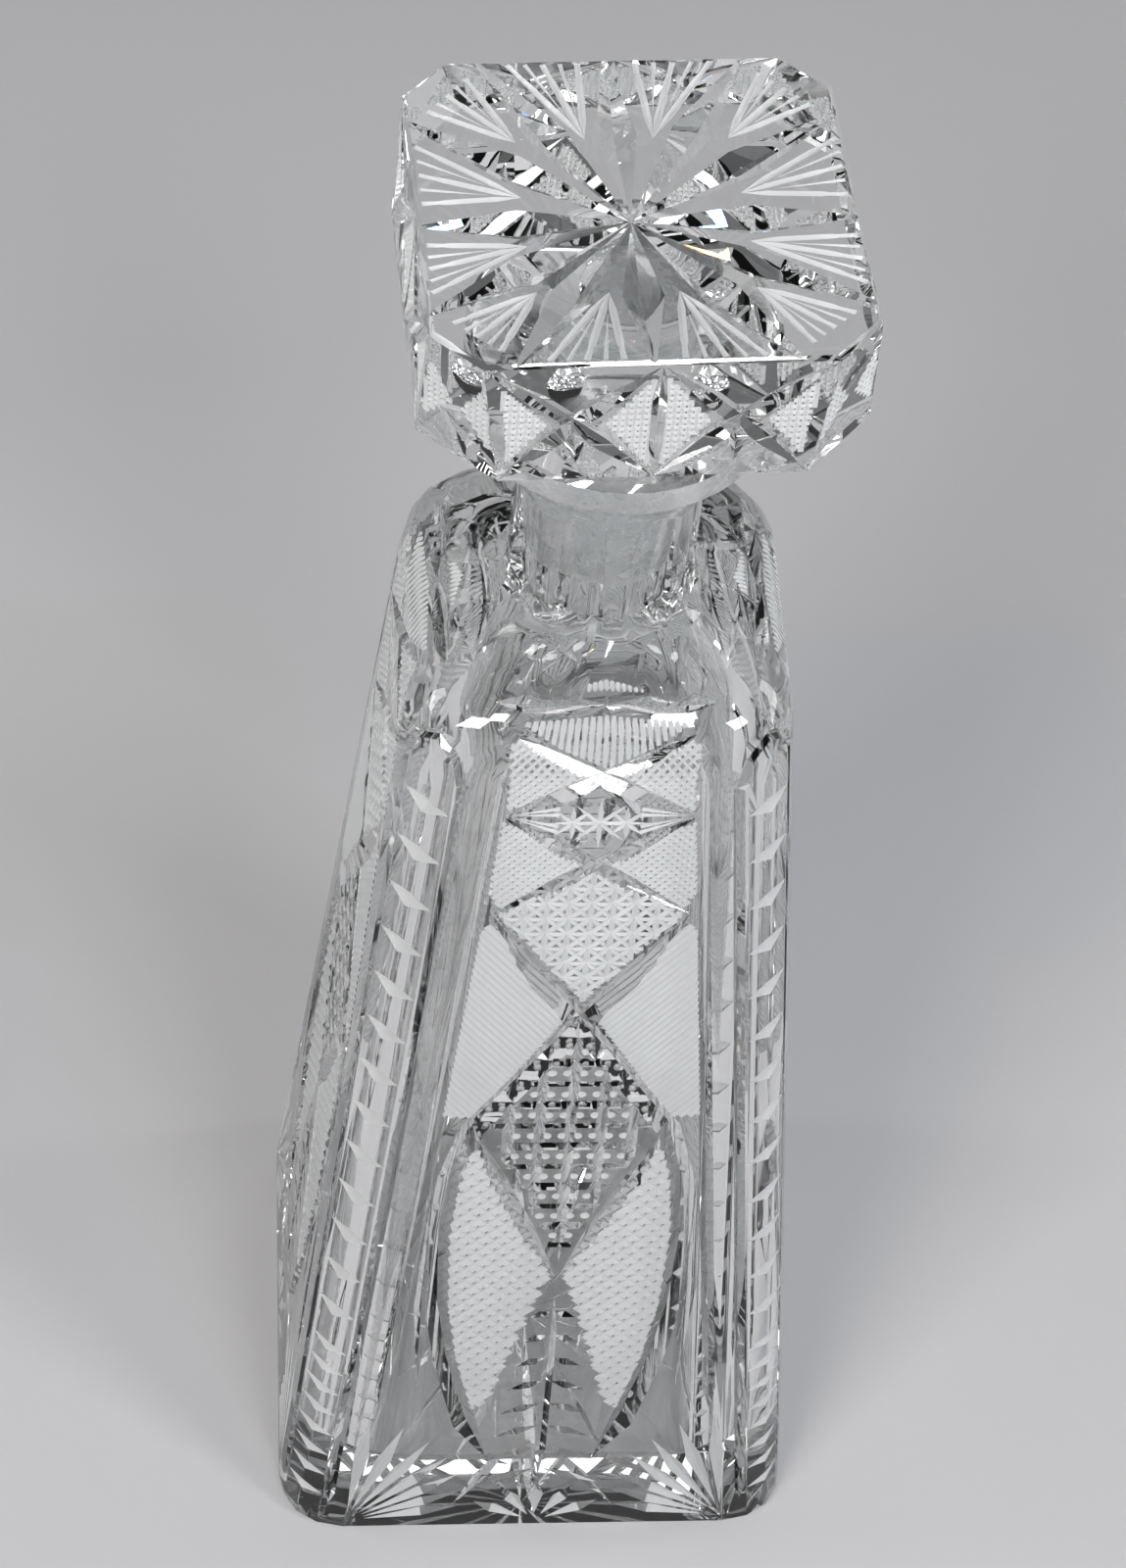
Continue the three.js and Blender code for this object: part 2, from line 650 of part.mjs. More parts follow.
function blockSideCuts(turn) {
  const skin = (s, z) =>
    new THREE.Vector3(s * blockFlatAt(z), -blockHalfAt(z), z).applyAxisAngle(UP, radians(turn));
  const [foot, middle, top] = [BLOCK_EDGE, BLOCK_THICKNESS / 2, BLOCK_THICKNESS - BLOCK_EDGE];
  const cross = [-1, 1].flatMap((side) => [
    mitre(skin, [0, top], [side, foot], BLOCK_SIDE_DEPTH),
    mitre(skin, [side, top], [0, foot], BLOCK_SIDE_DEPTH),
    mitre(skin, [side * 0.5, middle], [side * 0.5, foot + 2], BLOCK_SIDE_DEPTH, [0.4]),
  ]);
  return [...cross, mitre(skin, [0, top], [0, foot], BLOCK_SIDE_DEPTH)];
}

const clearGlass = new THREE.MeshStandardMaterial({
  color: 0xdfe5e6,
  roughness: 0.04,
  metalness: 0,
  transparent: true,
  opacity: 0.4,
});

const bottle = new THREE.Mesh(geometryOf(cutAway(bottleBlank().subtract(hollow()), bottleCuts())), clearGlass);
bottle.name = 'bottle';

const stopperCuts = [...topStar(), ...SIDES.flatMap(blockSideCuts)];
const stopper = new THREE.Mesh(geometryOf(cutAway(stopperBlank(), stopperCuts)), clearGlass.clone());
stopper.name = 'stopper';
stopper.position.set(0, 0, BLOCK_UNDER);
stopper.rotation.z = radians(STOPPER_TURN);

const decanter = new THREE.Group();
decanter.add(bottle, stopper);

export default decanter;
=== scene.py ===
"""A square cut glass decanter with its block stopper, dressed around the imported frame.

The two glass pieces start from the frame's own solids. The fine wheel cutting that the frame
leaves out is cut into them here: hatching, stars, fan rays and the chequered diamond's dots.
"""
import math

import bpy
from mathutils import Matrix, Vector


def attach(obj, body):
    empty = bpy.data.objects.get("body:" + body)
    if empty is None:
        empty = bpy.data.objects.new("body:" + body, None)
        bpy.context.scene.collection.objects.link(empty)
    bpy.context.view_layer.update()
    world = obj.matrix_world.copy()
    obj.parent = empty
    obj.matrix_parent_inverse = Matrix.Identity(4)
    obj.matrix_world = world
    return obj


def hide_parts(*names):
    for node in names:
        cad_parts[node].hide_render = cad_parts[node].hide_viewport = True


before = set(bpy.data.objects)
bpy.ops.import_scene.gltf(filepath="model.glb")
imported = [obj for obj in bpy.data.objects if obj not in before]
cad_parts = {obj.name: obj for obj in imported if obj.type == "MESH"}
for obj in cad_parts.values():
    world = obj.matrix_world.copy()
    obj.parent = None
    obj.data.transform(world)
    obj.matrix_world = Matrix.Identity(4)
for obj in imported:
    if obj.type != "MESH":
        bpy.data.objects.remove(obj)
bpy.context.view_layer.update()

MM = 0.001

# The body of the bottle, in millimetres
BASE_HALF = 42.5
BASE_FLAT = 32
SHOULDER_HALF = 26.75
SHOULDER_FLAT = 15.15
SHOULDER_START = 180
SHOULDER_RISE = 11
SHOULDER_FULLNESS = 2.6
BEND_LENGTH = SHOULDER_RISE * math.pi / 2
NECK_FOOT_RADIUS = 15.2
LONG_SIDE_ANGLE = 27
PANEL_HEIGHT = 177
SIDES = (0, 90, 180, 270)

# The stopper
BLOCK_UNDER = 239.8
BLOCK_THICKNESS = 19
BLOCK_TOP_HALF = 27.5
BLOCK_BOTTOM_HALF = 28.5
BLOCK_TOP_FLAT = 21.7
BLOCK_BOTTOM_FLAT = 19.2
STOPPER_TURN = 3
SHANK_END = 199.9
SHANK_TOP = 227.9
GROUND_RADIUS = 9.9

# The camera
LENS = 60
SENSOR = 24
CAMERA_DISTANCE = 0.57155
CAMERA_AZIMUTH = -7.48
CAMERA_ELEVATION = 50.6
CAMERA_ROLL = 5.81
LOOK_AT = Vector((-0.00198, 0, 0.14557))


def mix(a, b, t):
    return a + (b - a) * t


def half_at(z):
    return mix(BASE_HALF, SHOULDER_HALF, z / SHOULDER_START)


def flat_at(z):
    return mix(BASE_FLAT, SHOULDER_FLAT, z / SHOULDER_START)


# Shader maths

class Value:
    """A socket that takes part in Python expressions by adding Math nodes."""

    def __init__(self, maker, socket):
        self.maker = maker
        self.socket = socket

    def maths(self, operation, *others):
        return self.maker.add("ShaderNodeMath", {"operation": operation}, self, *others)

    def __add__(self, other):
        return self.maths("ADD", other)

    def __mul__(self, other):
        return self.maths("MULTIPLY", other)

    __radd__ = __add__
    __rmul__ = __mul__


class Maker:
    """Adds nodes to one tree."""

    def __init__(self, tree):
        self.tree = tree
        tree.nodes.clear()

    def add(self, kind, settings, *values, output=0, **named):
        node = self.tree.nodes.new(kind)
        for name, setting in settings.items():
            setattr(node, name, setting)
        sockets = list(enumerate(values))
        sockets += [(name.replace("_", " "), value) for name, value in named.items()]
        for key, value in sockets:
            if isinstance(value, Value):
                self.tree.links.new(value.socket, node.inputs[key])
            elif value is not None:
                node.inputs[key].default_value = value
        return Value(self, node.outputs[output]) if node.outputs else None

    def noise(self, place, scale, detail, roughness=0.5):
        kind = "ShaderNodeTexNoise"
        return self.add(kind, {}, Vector=place, Scale=scale, Detail=detail, Roughness=roughness)

    def share(self, value, low, high, kind="LINEAR"):
        """How far a value is between two limits, from 0 to 1."""
        return self.add("ShaderNodeMapRange", {"interpolation_type": kind}, value, low, high, 0, 1)

    def bump(self, height, distance, normal=None):
        return self.add("ShaderNodeBump", {}, Strength=1, Distance=distance, Height=height, Normal=normal)


def material(name):
    made = bpy.data.materials.new(name)
    made.use_nodes = True
    return made, Maker(made.node_tree)


LEAD_GLASS_IOR = 1.54
WAVE_HEIGHT = 0.00001
SMEAR_FINENESS = 3
NOISE_LIMITS = (0.3, 0.7)
CLEAR = (0.985, 0.992, 0.99, 1)
GREYED = (0.93, 0.945, 0.95, 1)


def glass(name, color, smooth, rough, transmission, wave_scale, grain=0, grain_scale=1):
    """Lead crystal: the waves that polishing leaves, and a surface from polished to ground."""
    made, m = material(name)
    place = m.add("ShaderNodeTexCoord", {}, output="Object")
    smear = m.share(m.noise(place, wave_scale * SMEAR_FINENESS, detail=3), *NOISE_LIMITS)
    normal = m.bump(m.noise(place, wave_scale, detail=1), WAVE_HEIGHT)
    if grain:
        normal = m.bump(m.noise(place, grain_scale, detail=2, roughness=0.7), grain, normal)
    surface = m.add(
        "ShaderNodeBsdfPrincipled",
        {},
        Base_Color=color,
        Roughness=smooth + smear * (rough - smooth),
        IOR=LEAD_GLASS_IOR,
        Transmission_Weight=transmission,
        Normal=normal,
    )
    m.add("ShaderNodeOutputMaterial", {}, Surface=surface)
    return made


polished = glass("polished crystal", CLEAR, smooth=0, rough=0.012, transmission=1, wave_scale=90)
# Also used on the chequer's dots, where its white is a painted highlight standing in for the glints of
# polished buttons
frosted = glass(
    "frosted wheel cut and painted glint dots", GREYED, smooth=0.42, rough=0.6, transmission=0.6,
    wave_scale=300, grain=0.00003, grain_scale=6000,
)
rubbed = glass(
    "ground neck and shank", GREYED, smooth=0.22, rough=0.32, transmission=0.85,
    wave_scale=200, grain=0.00002, grain_scale=5000,
)
FINISHES = (polished, rubbed, frosted)


# Modelling by hand tools

def choose(*pieces):
    bpy.ops.object.select_all(action="DESELECT")
    for piece in pieces:
        piece.select_set(True)
    bpy.context.view_layer.objects.active = pieces[0]


def wheel(kind, stretches=1):
    """One cut of a wheel, to be stretched along its route: along Z, its depth along X."""
    bpy.ops.object.select_all(action="DESELECT")
    if kind == "even":
        bpy.ops.mesh.primitive_cylinder_add(vertices=4, radius=1, depth=2)
    elif kind == "spindle":
        bpy.ops.mesh.primitive_uv_sphere_add(segments=4, ring_count=2, radius=1)
    elif kind == "spike":
        bpy.ops.mesh.primitive_cone_add(vertices=4, radius1=0, radius2=1, depth=2)
    elif kind == "button":
        bpy.ops.mesh.primitive_uv_sphere_add(segments=10, ring_count=6, radius=1)
    shape = bpy.context.object
    shape.name = "wheel " + kind
    if stretches > 1:
        bpy.ops.object.mode_set(mode="EDIT")
        bpy.ops.mesh.select_mode(type="EDGE")
        bpy.ops.mesh.select_all(action="DESELECT")
        bpy.ops.object.mode_set(mode="OBJECT")
        for edge in shape.data.edges:
            low, high = (shape.data.vertices[k].co.z for k in edge.vertices)
            edge.select = abs(high - low) > 1
        bpy.ops.object.mode_set(mode="EDIT")
        bpy.ops.mesh.subdivide(number_cuts=stretches - 1)
        bpy.ops.mesh.select_mode(type="VERT")
        bpy.ops.object.mode_set(mode="OBJECT")
    return shape


wheels = {}


def wheel_for(kind, stretches):
    """A wheel's cut is modelled once. Each use of it gets a mesh of its own."""
    if (kind, stretches) not in wheels:
        wheels[kind, stretches] = wheel(kind, stretches)
    return wheels[kind, stretches]


class Cutting:
    """The cuts for one piece, kept in passes, so that no two cuts of a pass meet inside the glass."""

    def __init__(self):
        self.passes = {}

    def add(self, name, kind, stretches, finish, matrix):
        self.passes.setdefault(name, []).append((kind, stretches, finish, matrix))

    def cut(self, piece):
        for name, cuts in self.passes.items():
            copies = []
            for kind, stretches, finish, matrix in cuts:
                data = wheel_for(kind, stretches).data.copy()
                data.transform(matrix)
                data.materials.append(finish)
                copies.append(bpy.data.objects.new("cut", data))
                bpy.context.scene.collection.objects.link(copies[-1])
            choose(*copies)
            bpy.ops.object.join()
            tool = copies[0]
            choose(piece)
            carve = piece.modifiers.new(name, "BOOLEAN")
            carve.operation = "DIFFERENCE"
            carve.solver = "MANIFOLD"
            carve.material_mode = "TRANSFER"
            carve.object = tool
            bpy.ops.object.modifier_apply(modifier=carve.name)
            bpy.data.objects.remove(tool)


def laid(start, end, normal, half_width, depth):
    """Puts a wheel's cut between two points of a surface."""
    along = (end - start) / 2
    z = along.normalized()
    x = (normal - normal.dot(z) * z).normalized()
    y = z.cross(x)
    matrix = Matrix((x * depth, y * half_width, along)).transposed().to_4x4()
    matrix.translation = (start + end) / 2
    return Matrix.Scale(MM, 4) @ matrix


# Surfaces, as points for a place across and a place up

def face_point(x, v):
    """A point of the front face, over the shoulder too. x is across, v is up along the surface."""
    angle = max(0, (v - SHOULDER_START) / BEND_LENGTH * math.pi / 2)
    parts = (math.sin(angle), math.cos(angle))
    rise, draw = (max(0, part) ** (2 / SHOULDER_FULLNESS) for part in parts)
    z = SHOULDER_START + SHOULDER_RISE * rise if angle > 0 else v
    s = x / flat_at(v)
    turn = math.radians(LONG_SIDE_ANGLE * s)
    return Vector((
        mix(s * flat_at(z), NECK_FOOT_RADIUS * math.sin(turn), 1 - draw),
        -mix(half_at(z), NECK_FOOT_RADIUS * math.cos(turn), 1 - draw),
        z,
    ))


def block_side_point(x, z):
    return Vector((x, -mix(BLOCK_BOTTOM_HALF, BLOCK_TOP_HALF, z / BLOCK_THICKNESS), z))


BLOCK_CORNER_HALF = [(a + b) / math.sqrt(2) for a, b in (
    (BLOCK_BOTTOM_HALF, BLOCK_BOTTOM_FLAT),
    (BLOCK_TOP_HALF, BLOCK_TOP_FLAT),
)]


def block_corner_point(x, z):
    return Vector((x, -mix(*BLOCK_CORNER_HALF, z / BLOCK_THICKNESS), z))


def block_top_point(x, y):
    return Vector((x, y, BLOCK_THICKNESS))


NUDGE = 0.05


def outward(skin, x, v):
    here = skin(x, v)
    return (skin(x + NUDGE, v) - here).cross(skin(x, v + NUDGE) - here).normalized()


CURVED_FROM = 178
CURVED_STEP = 2.2
STEP_OVERLAP = 0.03
STRETCH = 3


class Ground:
    """A surface to cut on: its skin, its place on the object and its list of cuts."""

    def __init__(self, cutting, skin, place, curved_from=None):
        self.cutting = cutting
        self.skin = skin
        self.place = place
        self.curved_from = curved_from

    def line(self, name, start, end, half_width, depth, kind="even", finish=frosted):
        """A straight cut, in steps where the surface bends, and in stretches with short walls."""
        length = math.dist(start, end)
        curved = self.curved_from is not None and max(start[1], end[1]) > self.curved_from
        steps = math.ceil(length / CURVED_STEP) if curved and kind == "even" else 1
        overlap = STEP_OVERLAP if steps > 1 else 0
        stretches = max(1, round(length / steps / STRETCH)) if kind == "even" else 1
        for k in range(steps):
            shares = (max(0, k / steps - overlap), min(1, (k + 1) / steps + overlap))
            (x0, v0), (x1, v1) = ([mix(a, b, t) for a, b in zip(start, end)] for t in shares)
            normal = outward(self.skin, (x0 + x1) / 2, (v0 + v1) / 2)
            matrix = laid(self.skin(x0, v0), self.skin(x1, v1), normal, half_width, depth)
            part = name if k % 2 == 0 else name + " between"
            self.cutting.add(part, kind, stretches, finish, self.place @ matrix)

    def button(self, name, middle, radius, depth):
        centre = self.skin(*middle)
        up = self.skin(middle[0], middle[1] + radius) - centre
        matrix = laid(centre - up, centre + up, outward(self.skin, *middle), radius, depth)
        # The dot is frosted white: a painted highlight in place of the glints that a polished button
        # shows
        self.cutting.add(name, "button", 1, frosted, self.place @ matrix)


PARALLEL = 1e-9


def inside(outline, start, end):
    """The stretches of a straight line that lie inside an outline."""
    meets = []
    dx, dy = end[0] - start[0], end[1] - start[1]
    for (ax, ay), (bx, by) in zip(outline, outline[1:] + outline[:1]):
        ex, ey = bx - ax, by - ay
        across = dx * ey - dy * ex
        if abs(across) < PARALLEL:
            continue
        t = ((ax - start[0]) * ey - (ay - start[1]) * ex) / across
        u = ((ax - start[0]) * dy - (ay - start[1]) * dx) / across
        if 0 <= u < 1:
            meets.append(t)
    meets.sort()
    ends = [(start[0] + dx * t, start[1] + dy * t) for t in meets]
    return list(zip(ends[::2], ends[1::2]))


# Each set of cuts has a depth of its own and runs a little beside the exact crossings, as hand-held
# glass does
SETS = {
    "upright": (1, 0.05),
    "level": (0.93, -0.04),
    "rising": (1.05, 0.07),
    "falling": (0.88, -0.06),
    "matte": (1, 0),
}
SHORTEST = 0.7


def hatch(ground, name, outline, angle, pitch, half_width, depth, through=(0, 0), kind="even"):
    """Parallel cuts that fill an outline, one of them through a given point."""
    turn = math.radians(angle)
    along = (math.cos(turn), math.sin(turn))
    aside = (-along[1], along[0])
    spread = [(x - through[0]) * aside[0] + (y - through[1]) * aside[1] for x, y in outline]
    deep, slip = SETS[name]
    for k in range(math.ceil(min(spread) / pitch), math.floor(max(spread) / pitch) + 1):
        crowded = 2 * half_width > pitch and k % 2
        part = name + " beside" if crowded else name
        start = [through[i] + aside[i] * (k * pitch + slip) for i in (0, 1)]
        for low, high in inside(outline, start, [start[i] + along[i] for i in (0, 1)]):
            if math.dist(low, high) > SHORTEST:
                ground.line(part, low, high, half_width * deep, depth * deep, kind)


def mirrored(outline, side):
    return [(side * x, y) for x, y in outline]


# The front panel's fine cutting. The other faces repeat it

HATCH = dict(pitch=1.0, half_width=0.4, depth=0.34)
MATTE_HATCH = dict(pitch=1.0, half_width=0.62, depth=0.26)
UPRIGHT_HATCH = dict(pitch=1.05, half_width=0.42, depth=0.34)
OVAL_HATCH = dict(pitch=2.0, half_width=0.84, depth=0.42)
STAR_HATCH = dict(half_width=0.45, depth=0.34)
STAR_CUT = (0.42, 0.34, "spindle")
RAY_CUT = (0.4, 0.3, "spike")

SHOULDER_FILL = [(-12.6, 187.6), (0, 179.6), (12.6, 187.6), (0, 189)]
STRIP_FILL = [(-9, 192.3), (0, 192.6), (9, 192.3), (0, 195)]
UPPER_FILL = [(13.2, 185.4), (0.8, 179.2), (12.9, 173.2)]
MIDDLE_FILL = [(13.2, 171.2), (0.8, 162.6), (12.8, 154), (14.6, 156.5), (14.1, 169)]
LOWER_FILL = [(14.2, 150.6), (0.9, 132.6), (14.6, 108), (19.6, 108.5), (16.3, 147)]
OVAL_FILL = [
    (14.2, 102.5), (17, 93.8), (18.2, 79.7), (17.6, 61.1), (15.8, 46.9), (12.4, 33.5),
    (9.6, 36), (7.6, 45), (5.2, 55), (2.6, 65), (1.2, 70),
]
MATTE_LEAN = 38
DIAMOND_FILL = [(0, 161.6), (13, 152.6), (0, 134), (-13, 152.6)]
DIAMOND_MIDDLE = (0, 151.5)
DIAMOND_PITCH = 3.1


def panel(ground):
    # Upright hatching between the shoulder cut and the first crossing, and a strip of it above
    hatch(ground, "upright", SHOULDER_FILL, 90, **UPRIGHT_HATCH)
    hatch(ground, "upright", STRIP_FILL, 90, kind="spindle", **UPRIGHT_HATCH)
    fills = ((UPPER_FILL, HATCH), (MIDDLE_FILL, HATCH), (OVAL_FILL, OVAL_HATCH))
    for side in (-1, 1):
        for outline, cuts in fills:
            hatch(ground, "rising", mirrored(outline, side), 45, **cuts)
            hatch(ground, "falling", mirrored(outline, side), 135, **cuts)
        hatch(ground, "matte", mirrored(LOWER_FILL, side), 90 - side * MATTE_LEAN, **MATTE_HATCH)
    first_diamond(ground)
    star_hatch(ground, DIAMOND_FILL, DIAMOND_PITCH, DIAMOND_MIDDLE)
    chequer(ground)


STAR_LEVEL = 170.9
STARS = ((-3.7, 3.2), (0, 4.9), (3.7, 3.2))
STAR_WAIST = 7.4
STAR_SLANT = 0.72
RAY_START = (12.2, 172.2)
RAY_END = (5.6, 171.4)
RAY_SPREAD = (0.12, 1.15)


def first_diamond(ground):
    """Three stars on a level cut, and the rays that meet them from both sides."""
    for x, size in STARS:
        reach = size * STAR_SLANT
        for name, dx, dy in (("upright", 0, size), ("rising", reach, reach), ("falling", reach, -reach)):
            ground.line(name, (x - dx, STAR_LEVEL - dy), (x + dx, STAR_LEVEL + dy), *STAR_CUT)
    ground.line("level", (-STAR_WAIST, STAR_LEVEL), (STAR_WAIST, STAR_LEVEL), *STAR_CUT)
    for side in (-1, 1):
        for rise in (-2, -1, 1, 2):
            start, end = (
                (side * x, v + rise * spread) for (x, v), spread in zip((RAY_START, RAY_END), RAY_SPREAD)
            )
            ground.line("rays", start, end, *RAY_CUT)


def star_hatch(ground, outline, pitch, through):
    """Four sets of parallel cuts that cross in stars with eight points."""
    close = pitch / math.sqrt(2)
    for name, angle, apart in (
        ("upright", 90, pitch), ("level", 0, pitch), ("rising", 45, close), ("falling", 135, close),
    ):
        hatch(ground, name, outline, angle, apart, through=through, **STAR_HATCH)


CHEQUER_PITCH = 4.6
CHEQUER_ROWS = 12
CHEQUER_FOOT = 0.41 * PANEL_HEIGHT
CHEQUER_TOP = 0.735 * PANEL_HEIGHT
CHEQUER_WING_LEVEL = 0.595 * PANEL_HEIGHT
CHEQUER_WING_SHARE = 0.66
CHEQUER_INSET = 0.86
CHEQUER_WING = CHEQUER_WING_SHARE * flat_at(CHEQUER_WING_LEVEL) * CHEQUER_INSET
CHEQUER_MARGIN = 2
CHEQUER_ROW_CUT = (0.6, 0.45, "even", polished)
DOT_CUT = (0.72, 0.3)
DOT_COLUMNS = (-1.75, -1.25, -0.75, -0.25, 0.25, 0.75, 1.25, 1.75)


def chequer(ground):
    """The extra rows of the third diamond, and the dots between its upright and level cuts, whose frosted
    white is a painted highlight.
    """
    outline = [
        (0, CHEQUER_FOOT),
        (CHEQUER_WING, CHEQUER_WING_LEVEL),
        (0, CHEQUER_TOP),
        (-CHEQUER_WING, CHEQUER_WING_LEVEL),
    ]
    row = (CHEQUER_TOP - CHEQUER_FOOT) / CHEQUER_ROWS
    for k in range(1, CHEQUER_ROWS, 2):
        level = CHEQUER_FOOT + k * row
        for low, high in inside(outline, (0, level), (1, level)):
            ground.line("level", low, high, *CHEQUER_ROW_CUT)
    for k in range(CHEQUER_ROWS):
        for column in DOT_COLUMNS:
            x, level = column * CHEQUER_PITCH, CHEQUER_FOOT + (k + 0.5) * row
            share = 1 - abs(x) / CHEQUER_WING
            low, high = (mix(CHEQUER_WING_LEVEL, edge, share) for edge in (CHEQUER_FOOT, CHEQUER_TOP))
            if low + CHEQUER_MARGIN < level < high - CHEQUER_MARGIN:
                ground.button("buttons", (x, level), *DOT_CUT)


# The stopper's fine cutting

RAY_SHARES = (-0.63, 0, 0.63)
FAN_RIM = 0.97
SIDE_FAN_APEX = 0.5
CORNER_FAN_APEX = 0.6
STAR_SHIFT = (1.2, 3)
FAN_LINES = (0.22, 0.5, 0.78)
FAN_CUT = (0.55, 0.47, "spindle")
FAN_END_START = 0.25
FAN_END_CUT = (0.42, 0.34, "spike")
FAN_THIN_LINES = (0.36, 0.64)
FAN_THIN_START = 0.3
FAN_THIN_CUT = (0.3, 0.28, "spike")


def stopper_top(ground):
    """Fans of five lines between the star's twelve rays. The star's middle lies a little off."""
    half = BLOCK_TOP_HALF
    rays = []
    for turn in SIDES:
        for share in RAY_SHARES:
            end = Matrix.Rotation(math.radians(turn), 3, "Z") @ Vector((share * half, -half, 0))
            rays.append((end.x, end.y))

    def shifted(point):
        return [c - shift * max(0, 1 - abs(c) / half) for c, shift in zip(point, STAR_SHIFT)]

    for i, end in enumerate(rays):
        after = rays[(i + 1) % len(rays)]
        corner = i % 3 == 2
        apex = [(a + b) / 2 * (CORNER_FAN_APEX if corner else SIDE_FAN_APEX) for a, b in zip(end, after)]
        for t in FAN_LINES:
            out = [mix(a, b, t) * FAN_RIM for a, b in zip(end, after)]
            near = [mix(a, b, FAN_END_START) for a, b in zip(apex, out)]
            ground.line("fan", shifted(apex), shifted(out), *FAN_CUT)
            ground.line("fan ends", shifted(near), shifted(out), *FAN_END_CUT)
        for t in FAN_THIN_LINES:
            out = [mix(a, b, t) * FAN_RIM for a, b in zip(end, after)]
            near = [mix(a, b, FAN_THIN_START) for a, b in zip(apex, out)]
            ground.line("fan between", shifted(near), shifted(out), *FAN_THIN_CUT)


BLOCK_HATCH = dict(pitch=0.95, half_width=0.38, depth=0.34)
BLOCK_MIDDLE = BLOCK_THICKNESS / 2
INNER_FILL = [(0.9, BLOCK_MIDDLE + 7), (0.9, BLOCK_MIDDLE - 7), (6.4, BLOCK_MIDDLE)]
OUTER_FILL = [(13.6, BLOCK_MIDDLE), (19.4, BLOCK_MIDDLE + 6), (18.2, BLOCK_MIDDLE - 6)]
CORNER_FILL = [(0.7, 9.6), (4.3, 15), (5.6, 4.2)]


def block_squares(ground, fills):
    """Small squares between level and upright cuts, on both halves of one side of the block."""
    for side in (-1, 1):
        for outline in fills:
            hatch(ground, "level", mirrored(outline, side), 0, **BLOCK_HATCH)
            hatch(ground, "upright", mirrored(outline, side), 90, **BLOCK_HATCH)


# The glass pieces

SAME_PLACE = 1e-6
SMOOTH_ANGLE = 30
GROUND_LEVELS = (SHANK_END - 0.4, SHANK_TOP)


def piece_from(node, name, body):
    """A piece that starts as the frame's own solid, with its neck or shank ground."""
    piece = bpy.data.objects.new(name, bpy.data.objects[node].data.copy())
    bpy.context.scene.collection.objects.link(piece)
    piece.data.materials.clear()
    for finish in FINISHES:
        piece.data.materials.append(finish)
    choose(piece)
    bpy.ops.object.mode_set(mode="EDIT")
    bpy.ops.mesh.select_all(action="SELECT")
    bpy.ops.mesh.remove_doubles(threshold=SAME_PLACE)
    bpy.ops.object.mode_set(mode="OBJECT")
    bpy.ops.mesh.customdata_custom_splitnormals_clear()
    for face in piece.data.polygons:
        x, y, z = face.center
        level = GROUND_LEVELS[0] * MM < z < GROUND_LEVELS[1] * MM
        is_ground = math.hypot(x, y) < GROUND_RADIUS * MM and level
        face.material_index = FINISHES.index(rubbed if is_ground else polished)
    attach(piece, body)
    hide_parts(node)
    return piece


def smoothed(piece):
    choose(piece)
    bpy.ops.object.shade_smooth_by_angle(angle=math.radians(SMOOTH_ANGLE))
    weigh = piece.modifiers.new("faces keep flat", "WEIGHTED_NORMAL")
    weigh.keep_sharp = True
    bpy.ops.object.modifier_apply(modifier=weigh.name)


# The rungs on the corner columns and the fans at the foot are cut in the frame's solid. Their walls
# are found by place and direction, and frosted. A fan has its middle, as across and up, and its reach
RUNG_LEVELS = (6, SHOULDER_START - 3)
COLUMN_WIDTH = 5.5
COLUMN_REACH = 0.62
RUNG_SLOPE = 0.3
FANS = [((side * (BASE_FLAT - 0.5), 3.1), 27) for side in (-1, 1)] + [((0, 2.4), 12)]
FAN_START = 2
FAN_WALL_NORMALS = (-0.97, -0.35)
FAN_WALL_SLACK = 0.14


def is_rung(face):
    """A wall of a rung's cut on one of the corner columns."""
    x, y, z = (abs(c) / MM for c in face.center)
    at_corner = min(x, y) > COLUMN_REACH * max(x, y) and max(x, y) > half_at(z) - COLUMN_WIDTH
    return at_corner and RUNG_LEVELS[0] < z < RUNG_LEVELS[1] and abs(face.normal.z) > RUNG_SLOPE


def is_fan_ray(face):
    """A wall of a fan's ray at the foot: it faces outward and holds the line to the fan's middle."""
    for turn in SIDES:
        back_turn = Matrix.Rotation(math.radians(-turn), 3, "Z")
        normal = back_turn @ face.normal
        if not FAN_WALL_NORMALS[0] < normal.y < FAN_WALL_NORMALS[1]:
            continue
        for (x, z), reach in FANS:
            spoke = back_turn @ face.center / MM - face_point(x, z)
            inward = spoke.x * x <= 0
            holds_spoke = abs(normal.dot(spoke.normalized())) < FAN_WALL_SLACK
            if inward and holds_spoke and FAN_START < spoke.length < reach:
                return True
    return False


def turned_about(angle, height=0):
    """A place on the axis, turned and raised, from degrees and millimetres."""
    return Matrix.Translation((0, 0, height * MM)) @ Matrix.Rotation(math.radians(angle), 4, "Z")


bottle = piece_from("bottle", "cut_bottle", "bottle")
for face in bottle.data.polygons:
    if is_rung(face) or is_fan_ray(face):
        face.material_index = FINISHES.index(frosted)
bottle_cuts = Cutting()
for turn in SIDES:
    panel(Ground(bottle_cuts, face_point, turned_about(turn), CURVED_FROM))
bottle_cuts.cut(bottle)
smoothed(bottle)

stopper = piece_from("stopper", "cut_stopper", "stopper")
stopper_cuts = Cutting()
for turn in SIDES:
    side_place = turned_about(STOPPER_TURN + turn, BLOCK_UNDER)
    corner_place = side_place @ turned_about(45)
    block_squares(Ground(stopper_cuts, block_side_point, side_place), [INNER_FILL, OUTER_FILL])
    block_squares(Ground(stopper_cuts, block_corner_point, corner_place), [CORNER_FILL])
stopper_top(Ground(stopper_cuts, block_top_point, turned_about(STOPPER_TURN, BLOCK_UNDER)))
stopper_cuts.cut(stopper)
smoothed(stopper)

for shape in wheels.values():
    bpy.data.objects.remove(shape)

# Floor, light and camera. Far from the glass the floor and the low sky have one pale colour, and
# the floor lies a hair below the foot, so that the underside of the glass reflects as it does on air

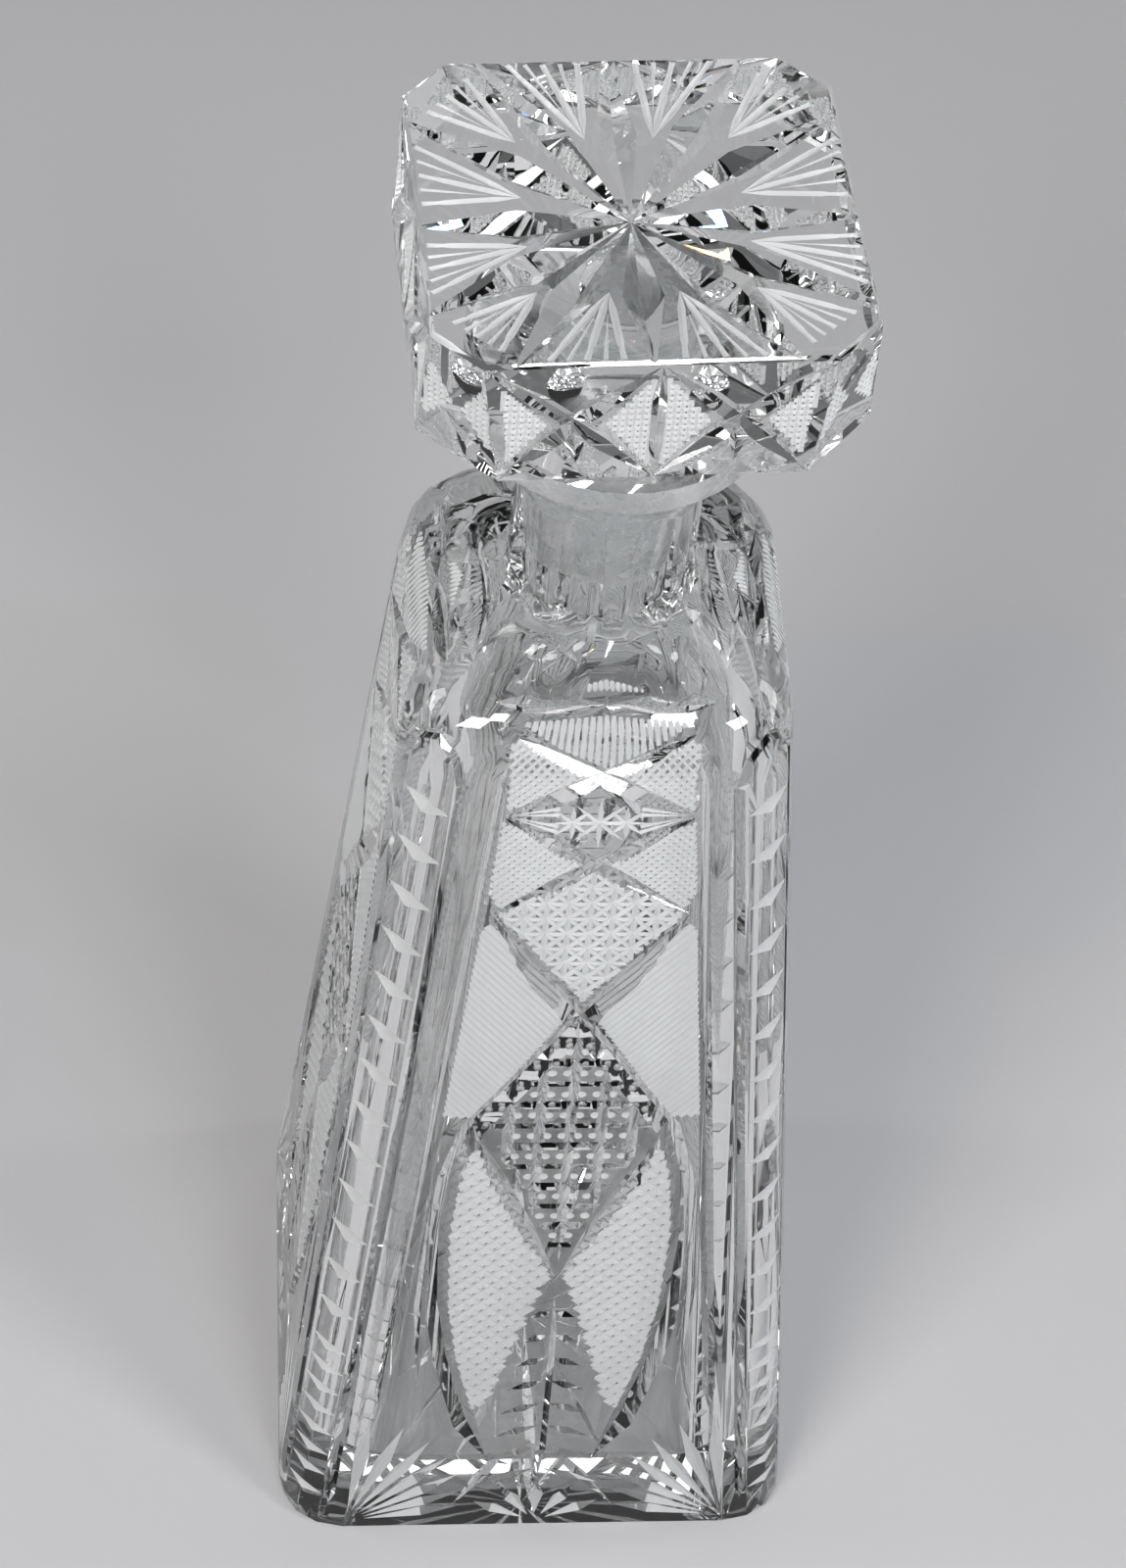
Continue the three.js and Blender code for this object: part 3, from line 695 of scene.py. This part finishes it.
HAZE = (0.97, 0.985, 1, 1)
HAZE_STRENGTH = 0.55
ZENITH_STRENGTH = 0.12
SKY_FADE = (0.12, 0.6)
FLOOR_COLOR = (0.55, 0.55, 0.56, 1)
FLOOR_FADE = (0.45, 1.3)
FLOOR_SIZE = 10
FLOOR_GAP = 0.00005

bpy.ops.object.select_all(action="DESELECT")
bpy.ops.mesh.primitive_plane_add(size=FLOOR_SIZE, location=(0, 0, -FLOOR_GAP))
floor = bpy.context.object
floor.name = "floor"
paint, m = material("pale floor")
spot = m.add("ShaderNodeTexCoord", {}, output="Object")
distance = m.add("ShaderNodeVectorMath", {"operation": "LENGTH"}, spot, output="Value")
far = m.share(distance, *FLOOR_FADE, "SMOOTHSTEP")
near_floor = m.add("ShaderNodeBsdfPrincipled", {}, Base_Color=FLOOR_COLOR, Roughness=0.8)
far_floor = m.add("ShaderNodeEmission", {}, Color=HAZE, Strength=HAZE_STRENGTH)
seen_floor = m.add("ShaderNodeMixShader", {}, far, near_floor, far_floor)
m.add("ShaderNodeOutputMaterial", {}, Surface=seen_floor)
floor.data.materials.append(paint)

world = bpy.data.worlds.new("studio")
bpy.context.scene.world = world
world.use_nodes = True
m = Maker(world.node_tree)
direction = m.add("ShaderNodeTexCoord", {}, output="Generated")
height = m.add("ShaderNodeSeparateXYZ", {}, direction, output="Z")
sky = HAZE_STRENGTH + m.share(height, *SKY_FADE, "SMOOTHSTEP") * (ZENITH_STRENGTH - HAZE_STRENGTH)
m.add("ShaderNodeOutputWorld", {}, Surface=m.add("ShaderNodeBackground", {}, Color=HAZE, Strength=sky))


def lamp(name, place, size, power, color=(1, 1, 1)):
    data = bpy.data.lights.new(name, "AREA")
    data.shape = "RECTANGLE"
    data.size, data.size_y = size
    data.energy = power
    data.color = color
    light = bpy.data.objects.new(name, data)
    bpy.context.scene.collection.objects.link(light)
    light.location = place
    light.rotation_euler = (LOOK_AT - Vector(place)).to_track_quat("-Z", "Y").to_euler()


lamp("left softbox", (-0.53, -0.6, 0.72), (0.24, 0.24), 3.2)
lamp("right softbox", (0.64, -0.53, 0.63), (0.24, 0.24), 3.2)
lamp("left strip", (-0.95, 0.1, 0.45), (0.15, 0.6), 1.5)
lamp("right strip", (0.95, 0.15, 0.45), (0.15, 0.6), 1.5)
lamp("back panel", (0.14, 1.0, 1.75), (1.4, 0.5), 3)
lamp("left lamp", (-0.322, -0.606, 0.832), (0.17, 0.17), 2)
lamp("right lamp", (0.17, -0.58, 0.886), (0.17, 0.17), 2)
lamp("warm bulb", (-0.3, -0.4, 1.1), (0.035, 0.035), 0.5, (1, 0.5, 0.15))
lamp("cool bulb", (0.26, -0.42, 1.1), (0.035, 0.035), 0.5, (0.25, 0.5, 1))

camera_data = bpy.data.cameras.new("camera")
camera_data.sensor_fit = "VERTICAL"
camera_data.sensor_height = SENSOR
camera_data.lens = LENS
camera_data.clip_start = 0.01
camera = bpy.data.objects.new("camera", camera_data)
bpy.context.scene.collection.objects.link(camera)
azimuth, elevation, roll = (math.radians(a) for a in (CAMERA_AZIMUTH, CAMERA_ELEVATION, CAMERA_ROLL))
back = Vector((
    math.sin(azimuth) * math.cos(elevation),
    -math.cos(azimuth) * math.cos(elevation),
    math.sin(elevation),
))
right = (-back).cross(Vector((0, 0, 1))).normalized()
up = right.cross(-back).normalized()
rolled_right = right * math.cos(roll) + up * math.sin(roll)
rolled_up = up * math.cos(roll) - right * math.sin(roll)
turned = Matrix((rolled_right, rolled_up, back)).transposed().to_4x4()
camera.matrix_world = Matrix.Translation(LOOK_AT + back * CAMERA_DISTANCE) @ turned
bpy.context.scene.camera = camera

bpy.context.scene.view_settings.view_transform = "Standard"
